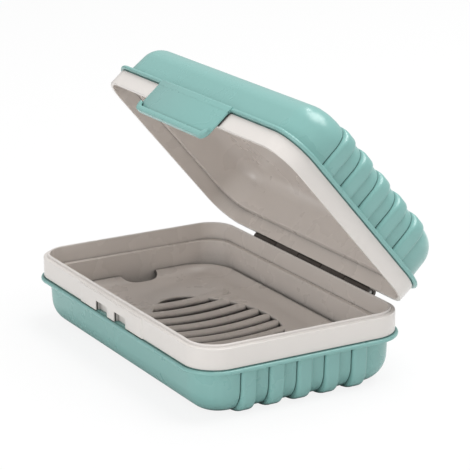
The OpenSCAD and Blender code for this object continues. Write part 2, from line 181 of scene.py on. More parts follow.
def maths(tree):
    """The tree's own arithmetic: a function of an operation and of its sockets or numbers."""
    def of(kind, *values):
        node = tree.nodes.new("ShaderNodeMath")
        node.operation = kind
        for socket, value in zip(node.inputs, values):
            if isinstance(value, (int, float)):
                socket.default_value = value
            else:
                tree.links.new(value, socket)
        return node.outputs[0]
    return of


def stored(tree, name):
    """Reads a number that the points carry under a name."""
    node = tree.nodes.new("GeometryNodeInputNamedAttribute")
    node.data_type = "FLOAT"
    node.inputs["Name"].default_value = name
    return node.outputs["Attribute"]


def rib_tree():
    """Geometry Nodes that press evenly spaced grip ribs out of a pan's two ends, each with rounded
    edges and a narrow groove along its front flank."""
    tree, given = start_tree("grip_ribs", "Pan", "Rib count", (
        "Rib pitch", "Rib width", "Rib edge", "Groove near", "Groove far", "Groove share"),
        "Ribbed pan")
    new, link, of = tree.nodes.new, tree.links.new, maths(tree)
    where, split = new("GeometryNodeInputPosition"), new("ShaderNodeSeparateXYZ")
    link(where.outputs[0], split.inputs[0])
    last = of("SUBTRACT", given["Rib count"], 1)
    along = of("ADD", of("DIVIDE", split.outputs["Y"], given["Rib pitch"]), of("MULTIPLY", last, 0.5))
    nearest = of("MINIMUM", of("MAXIMUM", of("ROUND", along), 0), last)
    off = of("SUBTRACT", along, nearest)
    away = of("MULTIPLY", of("ABSOLUTE", off), given["Rib pitch"])
    half = of("MULTIPLY", given["Rib width"], 0.5)
    inward = of("DIVIDE", of("SUBTRACT", half, away), given["Rib edge"])
    short = of("SUBTRACT", 1, of("MINIMUM", of("MAXIMUM", inward, 0), 1))
    crest = of("SQRT", of("SUBTRACT", 1, of("MULTIPLY", short, short)))
    beside = of("MULTIPLY", of("LESS_THAN", away, of("ADD", half, given["Groove far"])),
                of("GREATER_THAN", away, of("ADD", half, given["Groove near"])))
    groove = of("MULTIPLY", beside, of("LESS_THAN", off, 0))
    crest = of("SUBTRACT", crest, of("MULTIPLY", groove, given["Groove share"]))
    out = new("ShaderNodeCombineXYZ")
    link(of("MULTIPLY", stored(tree, "rib_reach"), crest), out.inputs["X"])
    press = new("GeometryNodeSetPosition")
    link(given["Pan"], press.inputs["Geometry"])
    link(out.outputs[0], press.inputs["Offset"])
    return end_tree(tree, press.outputs[0], given["Plastic"])


def grow(piece, tree, **sizes):
    """Runs a node tree on a piece with the sizes asked for, and keeps the result as a plain mesh."""
    modifier = piece.modifiers.new(tree.name, "NODES")
    modifier.node_group = tree
    names = {s.name: s.identifier for s in tree.interface.items_tree if s.in_out == "INPUT"}
    for name, value in sizes.items():
        modifier[names[name.replace("_", " ")]] = value
    grown = bpy.data.meshes.new_from_object(piece.evaluated_get(bpy.context.evaluated_depsgraph_get()))
    piece.modifiers.remove(modifier)
    piece.data = grown
    grown.name = piece.name


def ribbed(piece, up_from_foot, wall, mouth, rounding, rib_rounding, rib_top):
    """Marks how far each point of a pan's ends moves out under a rib, and presses the ribs.
    up_from_foot turns a point's z into its height above the pan's foot."""
    reach = piece.data.attributes.new("rib_reach", "FLOAT", "POINT")
    for vertex in piece.data.vertices:
        x, y, z = vertex.co / MM
        height = up_from_foot(z)
        here = pan_x(height, wall, mouth, rounding)
        if height < rib_top and abs(x) > here - 0.1 and abs(y) < RIB_COUNT * RIB_PITCH / 2:
            there = pan_x(height, wall + RIB_OUT, mouth, rib_rounding)
            reach.data[vertex.index].value = math.copysign(there - here, x) * MM
    grow(piece, grip_ribs, Rib_count=RIB_COUNT, Rib_pitch=RIB_PITCH * MM, Rib_width=RIB_WIDTH * MM,
         Rib_edge=RIB_EDGE * MM, Groove_near=GROOVE_NEAR * MM, Groove_far=GROOVE_FAR * MM,
         Groove_share=GROOVE_SHARE, Plastic=teal)


def add_node(nodes, kind, values=None, **options):
    """A new node with its options and the values of its sockets set."""
    node = nodes.new(kind)
    for name, value in options.items():
        setattr(node, name, value)
    for name, value in (values or {}).items():
        node.inputs[name].default_value = value
    return node


def moulded_plastic(name, colour, tint, rough, grain, depth, shade_reach=0.003, darkest_shade=0.25,
                    shut_at=0.12, open_at=0.6):
    """Satin moulded plastic: a faint drift of colour and gloss, the mould's fine spark-eroded grain
    as bump (grains a metre, depth in metres), and painted shade: the colour is darkened where ambient
    occlusion finds the surface shut in within shade_reach, from darkest_shade at one share of openness
    to none at the other."""
    stuff = bpy.data.materials.new(name)
    stuff.use_nodes = True
    nodes, link = stuff.node_tree.nodes, stuff.node_tree.links.new
    face = nodes["Principled BSDF"]
    face.inputs["IOR"].default_value = 1.49
    where = nodes.new("ShaderNodeTexCoord").outputs["Object"]
    drift = add_node(nodes, "ShaderNodeTexNoise", {"Scale": 22, "Detail": 3})
    smear = add_node(nodes, "ShaderNodeTexNoise", {"Scale": 60, "Detail": 4})
    pits = add_node(nodes, "ShaderNodeTexNoise", {"Scale": grain, "Detail": 2})
    for noise in (drift, smear, pits):
        link(where, noise.inputs["Vector"])
    mix = add_node(nodes, "ShaderNodeMix", {"A": (*colour, 1), "B": (*tint, 1)}, data_type="RGBA")
    # Painted shade: ambient occlusion darkens the colour in creases, slots, corners and gaps where shade
    # falls.
    openness = add_node(nodes, "ShaderNodeAmbientOcclusion", {"Distance": shade_reach}, samples=8)
    shade_level = add_node(nodes, "ShaderNodeMapRange",
                     {"From Min": shut_at, "From Max": open_at, "To Min": darkest_shade})
    painted_shade = add_node(nodes, "ShaderNodeMix", {"Factor": 1}, data_type="RGBA", blend_type="MULTIPLY")
    gloss = add_node(nodes, "ShaderNodeMapRange", {"To Min": rough - 0.015, "To Max": rough + 0.025})
    bump = add_node(nodes, "ShaderNodeBump", {"Strength": 0.22, "Distance": depth})
    link(drift.outputs["Fac"], mix.inputs["Factor"])
    link(openness.outputs["AO"], shade_level.inputs["Value"])
    link(mix.outputs["Result"], painted_shade.inputs["A"])
    link(shade_level.outputs["Result"], painted_shade.inputs["B"])
    link(painted_shade.outputs["Result"], face.inputs["Base Color"])
    link(smear.outputs["Fac"], gloss.inputs["Value"])
    link(gloss.outputs["Result"], face.inputs["Roughness"])
    link(pits.outputs["Fac"], bump.inputs["Height"])
    link(bump.outputs["Normal"], face.inputs["Normal"])
    return stuff


def plain_finish(piece, stuff, body):
    """Gives a moulding its one material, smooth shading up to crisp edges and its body."""
    piece.data.materials.clear()
    piece.data.materials.append(stuff)
    piece.data.shade_smooth()
    piece.data.set_sharp_from_angle(angle=math.radians(30))
    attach(piece, body)


# Like every plastic here, the teal gets painted shade in creases within 3 mm, down to a quarter of its
# colour.
teal = moulded_plastic("teal_plastic", (0.200, 0.395, 0.370), (0.212, 0.412, 0.387),
                       rough=0.27, grain=2600, depth=0.000012)
grip_ribs = rib_tree()
base_inside = soften([
    (CAP_IN, WALL, BASE_PLAN, 0),
    (BASE_INSET + WALL + (SEAT_Z - WALL) * DRAFT, WALL, BASE_PLAN, BASE_ROUND - WALL),
    (BASE_INSET + WALL, SEAT_Z, BASE_PLAN, 0)])[1:]
base_bead = soften([
    (BASE_INSET + WALL, SEAT_Z, BASE_PLAN, 0),
    (CREASE, SEAT_Z, BAND_PLAN, 0),
    (CREASE, SEAT_Z - CREASE, BAND_PLAN, 0),
    (-CREASE / 2, SEAT_Z - CREASE, BAND_PLAN, 0),
    (-BEAD_OUT, SEAT_Z, BAND_PLAN, BEAD_ROUND),
    (-BEAD_OUT, SEAT_Z - BEAD_H, BAND_PLAN, BEAD_ROUND),
    (0.3, SEAT_Z - BEAD_H, BAND_PLAN, 0),
    (BASE_INSET + BEAD_H * DRAFT, SEAT_Z - BEAD_H, BASE_PLAN, BEAD_ROOT),
    (BASE_INSET + (SEAT_Z - 5) * DRAFT, 5, BASE_PLAN, 0)])[1:-1]
base_outside = soften([
    (BASE_INSET + 4 * DRAFT, SEAT_Z - 4, BASE_PLAN, 0),
    (BASE_INSET + SEAT_Z * DRAFT, 0, BASE_PLAN, BASE_ROUND),
    (CAP_IN, 0, BASE_PLAN, 0)], turn=5)[:-1]
base_shell = skin("base_shell_pan", [round_box(*point, ends=rib_edges())
                                     for point in base_inside + base_bead + base_outside])
ribbed(base_shell, lambda z: z, HALF_LEN - BASE_INSET, SEAT_Z, BASE_ROUND, BASE_RIB_ROUND,
       SEAT_Z - BEAD_H - 0.01)
plain_finish(base_shell, teal, "base")
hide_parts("base_shell")

# BASE TUB
# The taupe inner tub of the base, moulded in polypropylene and welded into the shell: a deep well
# with a flat floor, a ledge, and a thin upstand behind the band.

# The tub's plastic carries strong painted shade: ambient occlusion over 14 mm darkens it to a
# twenty-fifth of its colour in the deepest corners.
taupe = moulded_plastic("taupe_plastic", (0.642, 0.590, 0.548), (0.652, 0.600, 0.558),
                        rough=0.27, grain=2200, depth=0.00001, shade_reach=0.014, darkest_shade=0.04)

LIP_TOP, LIP_SPLIT, LIP_IN = 24.5, 1.85, 2.2
SPLIT_TOP = LIP_TOP - 0.4
TUB_GAP, TUB_WALL = 0.2, 1.3
TUB_FOOT, TUB_IN = WALL + TUB_GAP, BASE_INSET + WALL + TUB_GAP
FLOOR_Z, LEDGE_Z, WELL_IN, WELL_ROUND = 3.0, 18.6, TUB_IN + TUB_WALL, 6.0
LEDGE_EDGE, LEDGE_CREASE = 0.3, 0.2
tub_line = soften([
    (CAP_IN, FLOOR_Z, BASE_PLAN, 0),
    (WELL_IN + (LEDGE_Z - FLOOR_Z) * DRAFT, FLOOR_Z, BASE_PLAN, WELL_ROUND),
    (WELL_IN, LEDGE_Z, BASE_PLAN, LEDGE_EDGE),
    (LIP_IN + 0.45, LEDGE_Z, BAND_PLAN, 0),
    (LIP_IN + 0.43, LEDGE_Z - LEDGE_CREASE, BAND_PLAN, 0),
    (LIP_IN + 0.26, LEDGE_Z - LEDGE_CREASE, BAND_PLAN, 0),
    (LIP_IN, SPLIT_TOP, BAND_PLAN, 0),
    (LIP_SPLIT, SPLIT_TOP, BAND_PLAN, 0),
    (LIP_SPLIT, SEAT_Z, BAND_PLAN, 0),
    (TUB_IN, SEAT_Z, BAND_PLAN, 0),
    (TUB_IN + (SEAT_Z - TUB_FOOT) * DRAFT, TUB_FOOT, BASE_PLAN, BASE_ROUND - TUB_FOOT),
    (CAP_IN, TUB_FOOT, BASE_PLAN, 0)])[1:-1]
base_tub = skin("base_tub", [round_box(*point) for point in tub_line])
plain_finish(base_tub, taupe, "base")
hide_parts("base_liner")

# BASE BAND
# The off-white band moulded onto the tub: a straight face above the bead, a step on which the lid
# closes, the lip that enters the lid, two latch pockets and hollows behind for the lid's knuckles.

# The stone plastic also gets painted shade in creases within 3 mm, down to a quarter of its colour.
stone = moulded_plastic("stone_plastic", (0.665, 0.630, 0.600), (0.680, 0.645, 0.615),
                        rough=0.30, grain=2200, depth=0.00001)

LIP_OUT = 1.45
band_line = soften([
    (LIP_SPLIT, SPLIT_TOP, BAND_PLAN, 0),
    (LIP_IN, SPLIT_TOP, BAND_PLAN, 0),
    (LIP_IN, LIP_TOP, BAND_PLAN, 0.25),
    (LIP_OUT, LIP_TOP, BAND_PLAN, 0.3),
    (LIP_OUT, BASE_H, BAND_PLAN, 0.12),
    (0, BASE_H, BAND_PLAN, 0.3),
    (0, SEAT_Z, BAND_PLAN, 0.25),
    (LIP_SPLIT, SEAT_Z, BAND_PLAN, 0)])
base_band = skin("base_band_ring", [round_box(*point) for point in band_line], capped=False)

POCKET_W, POCKET_H, POCKET_D, POCKET_BAR = 8.2, 3.3, 1.5, 5.0
PIN_Y, PIN_Z = HALF_DEP + 1.3, BASE_H - 0.5
HINGE_W, KNUCKLES, KNUCKLE_R, KNUCKLE_AIR = 73.0, 5, 1.9, 0.35
KNUCKLE_W = (HINGE_W - (KNUCKLES - 1) * KNUCKLE_AIR) / KNUCKLES


def block(name, low, high):
    """A plain block used as a cutter."""
    (x1, y1, z1), (x2, y2, z2) = low, high
    return skin(name, [[(x1, y1, z), (x2, y1, z), (x2, y2, z), (x1, y2, z)] for z in (z1, z2)])


def arc(radius, turns, u=0.0, v=0.0):
    """Points on a circle about (u, v), at turns in degrees."""
    return [(u + radius * math.cos(math.radians(turn)), v + radius * math.sin(math.radians(turn)))
            for turn in turns]


def all_round(count):
    """The turns of evenly spaced points all round a circle."""
    return [360 * k / count for k in range(count)]


def knuckle_hollows(first):
    """Round cutters where the other half's knuckles turn, at every second place along the hinge."""
    hollows = []
    ring = arc(KNUCKLE_R + KNUCKLE_AIR, all_round(48), PIN_Y, PIN_Z)
    for k in range(first, KNUCKLES, 2):
        x = k * (KNUCKLE_W + KNUCKLE_AIR) - HINGE_W / 2 - KNUCKLE_AIR
        hollows.append(skin("knuckle_hollow", [[(x + step, y, z) for y, z in ring]
                                               for step in (0, KNUCKLE_W + 2 * KNUCKLE_AIR)]))
    return hollows


def cut_away(piece, cutters):
    """Takes the cutters out of a piece and throws them away."""
    for cutter in cutters:
        modifier = piece.modifiers.new("cut", "BOOLEAN")
        modifier.operation = "DIFFERENCE"
        modifier.solver = "EXACT"
        modifier.object = cutter
    cut = bpy.data.meshes.new_from_object(piece.evaluated_get(bpy.context.evaluated_depsgraph_get()))
    piece.modifiers.clear()
    piece.data = cut
    for cutter in cutters:
        bpy.data.objects.remove(cutter)


def pocket_start(side):
    """Where a pocket's left wall stands, on the left (-1) or the right (1) of the bar between them."""
    return side * (POCKET_BAR + POCKET_W) / 2 - POCKET_W / 2


pockets = [block("pocket", (pocket_start(side), -HALF_DEP - 1, SEAT_Z - 1),
                 (pocket_start(side) + POCKET_W, -HALF_DEP + POCKET_D, SEAT_Z + POCKET_H))
           for side in (-1, 1)]
cut_away(base_band, pockets + knuckle_hollows(1))
plain_finish(base_band, stone, "base")
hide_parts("base_band")

# CATCH PLATE
# The thicker patch on the front of the base's band and in one with it, whose two pockets open
# downwards and hold the latch's lugs. Its edges are lightly broken and its two ends fade out.

PLATE_W, PLATE_OUT, PLATE_BACK, PLATE_BEVEL, PLATE_FADE = 43.5, 0.4, 0.5, 0.16, 1.6


def plate_outline():
    """The plate's face with both pockets notched out of its lower edge."""
    half = PLATE_W / 2
    inner, outer = POCKET_BAR / 2, POCKET_BAR / 2 + POCKET_W
    low, high, notch = SEAT_Z + 0.02, BASE_H - 0.4, SEAT_Z + POCKET_H
    right = [(inner, low), (inner, notch), (outer, notch), (outer, low), (half, low), (half, high)]
    return right + [(-x, z) for x, z in reversed(right)]


plate = bmesh.new()
plate_sides = [[plate.verts.new(Vector((x, y - HALF_DEP, z)) * MM) for x, z in plate_outline()]
               for y in (-PLATE_OUT, PLATE_BACK)]
plate_face = plate.faces.new(plate_sides[0])
plate.faces.new(plate_sides[1])
join_rows(plate, plate_sides)
bmesh.ops.recalc_face_normals(plate, faces=plate.faces)
bmesh.ops.bevel(plate, geom=list(plate_face.edges), offset=PLATE_BEVEL * MM, segments=3, profile=0.5,
                affect="EDGES")
for point in plate.verts:
    if abs(point.co.x) > (PLATE_W / 2 - 0.01) * MM and point.co.y > -HALF_DEP * MM:
        point.co.x += math.copysign(PLATE_FADE, point.co.x) * MM
catch_plate = stand("catch_plate", plate)
plain_finish(catch_plate, stone, "base")

# HINGE
# Five barrel knuckles, the odd ones moulded onto the base's band and the even ones onto the lid's,
# with a cut length of hard-drawn steel wire pushed through them. Their near-black brown is painted
# shade for the deep gap between lid and base at the back, where they sit.

PIN_R, BORE_AIR, WEB_REACH = 0.8, 0.05, 1.95
SWING = math.radians(-50)
OPENED = (Matrix.Translation(Vector((0, PIN_Y, PIN_Z)) * MM) @ Matrix.Rotation(SWING, 4, "X")
          @ Matrix.Translation(Vector((0, -PIN_Y, -PIN_Z)) * MM))


def swung(point):
    """Turns a place drawn with the lid shut to where it is with the lid standing open."""
    return (OPENED @ (Vector(point) * MM)) / MM


def knuckle(name, web_side, place):
    """One knuckle at the middle of the hinge: a bored barrel with softened ends, squared off on the
    quarter by which it joins its band. web_side is -1 below the pin and 1 above it."""
    def outline(less):
        points = []
        for c, s in arc(1, all_round(72)):
            radius = KNUCKLE_R - less
            if c < -1e-6 and s * web_side > 1e-6:
                radius = min((WEB_REACH - less) / -c, radius / abs(s))
            points.append((radius * c, radius * s))
        return points
    bore = arc(PIN_R + BORE_AIR, all_round(72))
    half = KNUCKLE_W / 2
    rows = [(half, bore), (-half, bore), (-half, outline(0.2)), (0.06 - half, outline(0.06)),
            (0.2 - half, outline(0)), (half - 0.2, outline(0)), (half - 0.06, outline(0.06)),
            (half, outline(0.2))]
    return skin(name, [[(x, PIN_Y + y, PIN_Z + z) for y, z in row] for x, row in rows],
                capped=False, place=place)


def row_along_x(tree, form, count, pitch):
    """The nodes that set copies of a form out along X, spaced evenly about the middle."""
    of = maths(tree)
    line = tree.nodes.new("GeometryNodeMeshLine")
    tree.links.new(count, line.inputs["Count"])
    first = of("MULTIPLY", of("MULTIPLY", of("SUBTRACT", count, 1), pitch), -0.5)
    for value, socket in ((first, "Start Location"), (pitch, "Offset")):
        vector = tree.nodes.new("ShaderNodeCombineXYZ")
        tree.links.new(value, vector.inputs["X"])
        tree.links.new(vector.outputs[0], line.inputs[socket])
    copies = tree.nodes.new("GeometryNodeInstanceOnPoints")
    tree.links.new(line.outputs["Mesh"], copies.inputs["Points"])
    tree.links.new(form, copies.inputs["Instance"])
    return copies.outputs[0]


def row_tree():
    """Geometry Nodes for a row of one form along X."""
    tree, given = start_tree("row_along_x", "Form", "Count", ("Pitch",), "Row")
    return end_tree(tree, row_along_x(tree, given["Form"], given["Count"], given["Pitch"]),
                    given["Plastic"])


# Painted shade: this near-black brown stands for the shade in the gap between lid and base, dark enough
# that the knuckles' lit ends still read dark; it also gets the usual painted shade in creases.
gap_shade_brown = moulded_plastic("brown_plastic", (0.055, 0.044, 0.037), (0.064, 0.052, 0.044),
                        rough=0.45, grain=2200, depth=0.00001)
row_of_copies = row_tree()
for name, count, web_side, place, body in (("base_knuckles", 3, -1, lambda p: p, "base"),
                                           ("lid_knuckles", 2, 1, swung, "lid")):
    barrels = knuckle(name, web_side, place)
    grow(barrels, row_of_copies, Count=count, Pitch=2 * (KNUCKLE_W + KNUCKLE_AIR) * MM, Plastic=gap_shade_brown)
    plain_finish(barrels, gap_shade_brown, body)


def drawn_steel(name):
    """Drawn wire: fine lines along it, and small changes of polish."""
    stuff = bpy.data.materials.new(name)
    stuff.use_nodes = True
    nodes, link = stuff.node_tree.nodes, stuff.node_tree.links.new
    face = nodes["Principled BSDF"]
    face.inputs["Base Color"].default_value = (0.33, 0.32, 0.31, 1)
    face.inputs["Metallic"].default_value = 1
    where = nodes.new("ShaderNodeTexCoord")
    along = add_node(nodes, "ShaderNodeMapping", {"Scale": (60, 4000, 4000)})
    lines = add_node(nodes, "ShaderNodeTexNoise", {"Scale": 1})
    polish = add_node(nodes, "ShaderNodeMapRange", {"To Min": 0.25, "To Max": 0.5})
    bump = add_node(nodes, "ShaderNodeBump", {"Strength": 0.3, "Distance": 0.00001})
    link(where.outputs["Object"], along.inputs["Vector"])
    link(along.outputs[0], lines.inputs["Vector"])
    link(lines.outputs["Fac"], polish.inputs["Value"])
    link(polish.outputs["Result"], face.inputs["Roughness"])
    link(lines.outputs["Fac"], bump.inputs["Height"])
    link(bump.outputs["Normal"], face.inputs["Normal"])
    return stuff


pin_half = HINGE_W / 2 - KNUCKLE_AIR
pin_rows = [(-pin_half, 0.55), (0.08 - pin_half, 0.72), (0.3 - pin_half, PIN_R),
            (pin_half - 0.3, PIN_R), (pin_half - 0.08, 0.72), (pin_half, 0.55)]
pin = skin("hinge_wire", [[(x, y, z) for y, z in arc(r, all_round(32), PIN_Y, PIN_Z)]
                          for x, r in pin_rows])
plain_finish(pin, drawn_steel("drawn_steel"), "base")
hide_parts("hinge_pin")

# DRAINING RACK
# The taupe lift-out rack, moulded in one: a thin plate dished up to a rim, an oval window crossed by
# nine sagging bars whose ends run out over the plate, a finger notch at one end and six short feet.
# Its material is a shaded copy of the tub's plastic: a little darker, with painted shade that reaches
# over wider gaps, so the slots between the bars render dark.

# Painted shade: this copy of the taupe is darker, and its ambient occlusion reaches 8 mm and darkens to
# a fiftieth, to darken the slots between the bars.
rack_taupe_painted_shade = moulded_plastic("rack_taupe_plastic", (0.626, 0.575, 0.535), (0.636, 0.585, 0.545),
                             rough=0.27, grain=2200, depth=0.00001, shade_reach=0.008, darkest_shade=0.02,
                             shut_at=0.4, open_at=0.86)

RACK_X, RACK_Y, RACK_PLAN = 54.853, 31.403, 14.5
RIM_Z, PLATE_Z, RACK_T = 11.2, 9.5, 1.5
RACK_UNDER = PLATE_Z - RACK_T
WINDOW_X = 3.4
END_R, END_X, SIDE_R, SIDE_Y = 9.75, 22.25, 40.01282, 20.51282


def quarters(outline, count=44):
    """Spreads points evenly over each quarter of a symmetrical outline, given its first quarter."""
    lengths = [0.0]
    for a, b in zip(outline, outline[1:]):
        lengths.append(lengths[-1] + math.dist(a, b))
    first, k = [], 0
    for i in range(count):
        want = lengths[-1] * i / count
        while lengths[k + 1] < want:
            k += 1
        t = (want - lengths[k]) / (lengths[k + 1] - lengths[k])
        first.append(tuple(p + (q - p) * t for p, q in zip(outline[k], outline[k + 1])))
    first.append(outline[-1])
    half = first[:-1] + [(-x, y) for x, y in reversed(first[1:])]
    return half + [(-x, -y) for x, y in half]


def window_quarter(grown):
    """First quarter of the window's oval, grown outwards."""
    join = math.degrees(math.atan2(SIDE_Y, END_X))
    end = arc(END_R + grown, [join * i / 40 for i in range(41)], END_X)
    return end + arc(SIDE_R + grown, [join + (90 - join) * i / 60 for i in range(1, 61)], 0, -SIDE_Y)


def rim_quarter(inset):
    """First quarter of the rack's outline, at a distance in from its edge."""
    corner = arc(RACK_PLAN - inset, range(0, 91, 3), RACK_X - RACK_PLAN, RACK_Y - RACK_PLAN)
    return [(RACK_X - inset, 0.0)] + corner + [(0.0, RACK_Y - inset)]


window_rows = [(window_quarter(g), z) for g, z in (
    (0.5, RACK_UNDER), (0.15, RACK_UNDER + 0.12), (0, RACK_UNDER + 0.4), (0, PLATE_Z - 0.5),
    (0.08, PLATE_Z - 0.24), (0.25, PLATE_Z - 0.07), (0.5, PLATE_Z))]
rim_rows = [(rim_quarter(i), z) for i, z in (
    (7.2, PLATE_Z), (6.2, PLATE_Z + 0.06), (5.2, PLATE_Z + 0.22), (4.2, PLATE_Z + 0.47),
    (3.2, PLATE_Z + 0.8), (2.2, PLATE_Z + 1.2), (1.5, PLATE_Z + 1.5), (1.1, PLATE_Z + 1.63),
    (0.7, RIM_Z), (0.4, RIM_Z - 0.03), (0.12, RIM_Z - 0.16), (0, RIM_Z - 0.42), (0, RIM_Z - 1.3),
    (0.2, RIM_Z - 1.5), (1.2, RIM_Z - 1.5), (2.2, PLATE_Z - 0.3), (3.2, PLATE_Z - 0.7),
    (4.2, PLATE_Z - 1.03), (5.2, PLATE_Z - 1.28), (6.2, PLATE_Z - 1.44), (7.2, RACK_UNDER))]
rack_plate = skin("rack_plate",
                  [[(x + WINDOW_X, y, z) for x, y in quarters(outline)] for outline, z in window_rows]
                  + [[(x, y, z) for x, y in quarters(outline)] for outline, z in rim_rows], capped=False)

NOTCH_W, NOTCH_D, NOTCH_CORNER, NOTCH_EDGE = 14.0, 6.0, 5.5, 0.3
notch = [(-RACK_X - 5, NOTCH_W / 2)]
notch += arc(NOTCH_CORNER, range(90, -1, -6), NOTCH_D - RACK_X - NOTCH_CORNER,
             NOTCH_W / 2 - NOTCH_CORNER)
notch += [(x, -y) for x, y in reversed(notch)]
notch_cutter = skin("notch", [[(x, y, z) for x, y in notch] for z in (RACK_UNDER - 2, RIM_Z + 2)])
cut_away(rack_plate, [notch_cutter])
soft_edge = rack_plate.modifiers.new("notch edge", "BEVEL")
soft_edge.width = NOTCH_EDGE * MM
soft_edge.segments = 3
soft_edge.limit_method = "ANGLE"
soft_edge.angle_limit = math.radians(60)
plain_finish(rack_plate, rack_taupe_painted_shade, "rack")
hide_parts("drain_rack")

BAR_COUNT, BAR_PITCH, BAR_R, BAR_RISE, BAR_DROP, BAR_FLARE = 9, 6.9, 2.1, 1.5, 0.8, 0.14
BAR_ARC, BAR_END_Z, BAR_TAIL, BAR_REACH = 136.5036, 9.65, 1.6, 19.8


def bar_tree():
    """Geometry Nodes that set out the rack's bars and bend each to its sag. Every bar spans the oval
    window where it lies, flares as it runs on over the plate, dives into it and is flat underneath."""
    tree, given = start_tree("rack_bars", "Blank", "Bar count", (
        "Bar pitch", "Bar radius", "Bar rise", "Bar drop", "Bar flare", "Sag radius", "End height",
        "Tail", "Reach", "Window radius", "Window centre"), "Bars")
    new, link, of = tree.nodes.new, tree.links.new, maths(tree)

    def arc_height(radius, along):
        return of("SQRT", of("SUBTRACT", of("MULTIPLY", radius, radius), of("MULTIPLY", along, along)))

    def place_of():
        where, split = new("GeometryNodeInputPosition"), new("ShaderNodeSeparateXYZ")
        link(where.outputs[0], split.inputs[0])
        return split.outputs

    def moved(shape, x, y, z):
        place, press = new("ShaderNodeCombineXYZ"), new("GeometryNodeSetPosition")
        for socket, value in zip(place.inputs, (x, y, z)):
            link(value, socket)
        link(shape, press.inputs["Geometry"])
        link(place.outputs[0], press.inputs["Position"])
        return press.outputs[0]

    unit = add_node(tree.nodes, "GeometryNodeCurvePrimitiveLine",
                    {"Start": (0, -1, 0), "End": (0, 1, 0)})
    fine = add_node(tree.nodes, "GeometryNodeResampleCurve", {"Count": 81})
    link(unit.outputs[0], fine.inputs["Curve"])
    spines = new("GeometryNodeRealizeInstances")
    link(row_along_x(tree, fine.outputs[0], given["Bar count"], given["Bar pitch"]), spines.inputs[0])

    spot = place_of()
    window = of("SUBTRACT", arc_height(given["Window radius"], spot["X"]), given["Window centre"])
    reach = of("MAXIMUM", of("ADD", window, given["Tail"]), given["Reach"])
    along = of("MULTIPLY", of("SINE", of("MULTIPLY", spot["Y"], math.pi / 2)), reach)
    top = of("SUBTRACT", of("ADD", given["End height"], arc_height(given["Sag radius"], window)),
             arc_height(given["Sag radius"], along))
    spine_z = of("SUBTRACT", top, given["Bar rise"])
    left = of("DIVIDE", of("SUBTRACT", reach, of("ABSOLUTE", along)),
              of("MULTIPLY", given["Bar radius"], 2))
    short = of("SUBTRACT", 1, of("MINIMUM", left, 1))
    taper = of("SQRT", of("MAXIMUM", of("SUBTRACT", 1, of("MULTIPLY", short, short)), 0.0004))
    past = of("DIVIDE", of("SUBTRACT", of("ABSOLUTE", along), window), given["Bar radius"])
    flare = of("MINIMUM", of("MAXIMUM", of("ADD", past, 1), 0), 2)
    widen = of("ADD", 1, of("MULTIPLY", flare, given["Bar flare"]))
    marked = spines.outputs[0]
    for name, value in (("bar_x", spot["X"]), ("widen", widen), ("spine_z", spine_z), ("taper", taper)):
        keep = add_node(tree.nodes, "GeometryNodeStoreNamedAttribute", {"Name": name},
                        data_type="FLOAT", domain="POINT")
        link(marked, keep.inputs["Geometry"])
        link(value, keep.inputs["Value"])
        marked = keep.outputs[0]
    bent = moved(marked, spot["X"], along, spine_z)

    ring = add_node(tree.nodes, "GeometryNodeCurvePrimitiveCircle", {"Resolution": 28})
    link(given["Bar radius"], ring.inputs["Radius"])
    rods = add_node(tree.nodes, "GeometryNodeCurveToMesh", {"Fill Caps": True})
    link(bent, rods.inputs["Curve"])
    link(ring.outputs[0], rods.inputs["Profile Curve"])
    link(stored(tree, "taper"), rods.inputs["Scale"])

    spot = place_of()
    middle, spine = stored(tree, "bar_x"), stored(tree, "spine_z")
    aside = of("MULTIPLY", of("SUBTRACT", spot["X"], middle), stored(tree, "widen"))
    low = of("MULTIPLY", of("SUBTRACT", spot["Z"], spine),
             of("DIVIDE", given["Bar rise"], given["Bar radius"]))
    under = of("MAXIMUM", low, of("MULTIPLY", given["Bar drop"], -1))
    bars = moved(rods.outputs[0], of("ADD", middle, aside), spot["Y"], of("ADD", spine, under))
    return end_tree(tree, bars, given["Plastic"])


rack_bars = skin("rack_bars", [[(0, 0, z), (1, 0, z), (0, 1, z)] for z in (0, 1)])
grow(rack_bars, bar_tree(), Bar_count=BAR_COUNT, Bar_pitch=BAR_PITCH * MM, Bar_radius=BAR_R * MM,
     Bar_rise=BAR_RISE * MM, Bar_drop=BAR_DROP * MM, Bar_flare=BAR_FLARE, Sag_radius=BAR_ARC * MM,
     End_height=BAR_END_Z * MM, Tail=BAR_TAIL * MM, Reach=BAR_REACH * MM, Window_radius=SIDE_R * MM,
     Window_centre=SIDE_Y * MM, Plastic=rack_taupe_painted_shade)
rack_bars.data.transform(Matrix.Translation((WINDOW_X * MM, 0, 0)))
plain_finish(rack_bars, rack_taupe_painted_shade, "rack")

FOOT_R = 1.6


def foot_form(name, places):
    """Short round feet below the plate at x = 0, with a flare where they leave it and a rounded tip."""
    feet = bmesh.new()
    for place in places:
        rows = [[feet.verts.new(Vector((x, y, z)) * MM) for x, y in arc(r, all_round(32), 0, place)]
                for r, z in ((1.1, FLOOR_Z), (1.42, FLOOR_Z + 0.1), (FOOT_R, FLOOR_Z + 0.4),
                             (FOOT_R, RACK_UNDER - 0.7), (1.75, RACK_UNDER - 0.3),
                             (2.1, RACK_UNDER + 0.1))]
        join_rows(feet, rows)
        feet.faces.new(rows[0])
        feet.faces.new(rows[-1])
    bmesh.ops.recalc_face_normals(feet, faces=feet.faces)
    return stand(name, feet)


for name, places, apart in (("rack_side_feet", (-22.2, 22.2), 67.2), ("rack_end_feet", (0,), 88.1)):
    feet = foot_form(name, places)
    grow(feet, row_of_copies, Count=2, Pitch=apart * MM, Plastic=taupe)
    plain_finish(feet, taupe, "rack")

# LID SHELL
# The teal outer pan of the lid, moulded like the base's: bead and ribs, and a step under the bead
# that locates the tub.

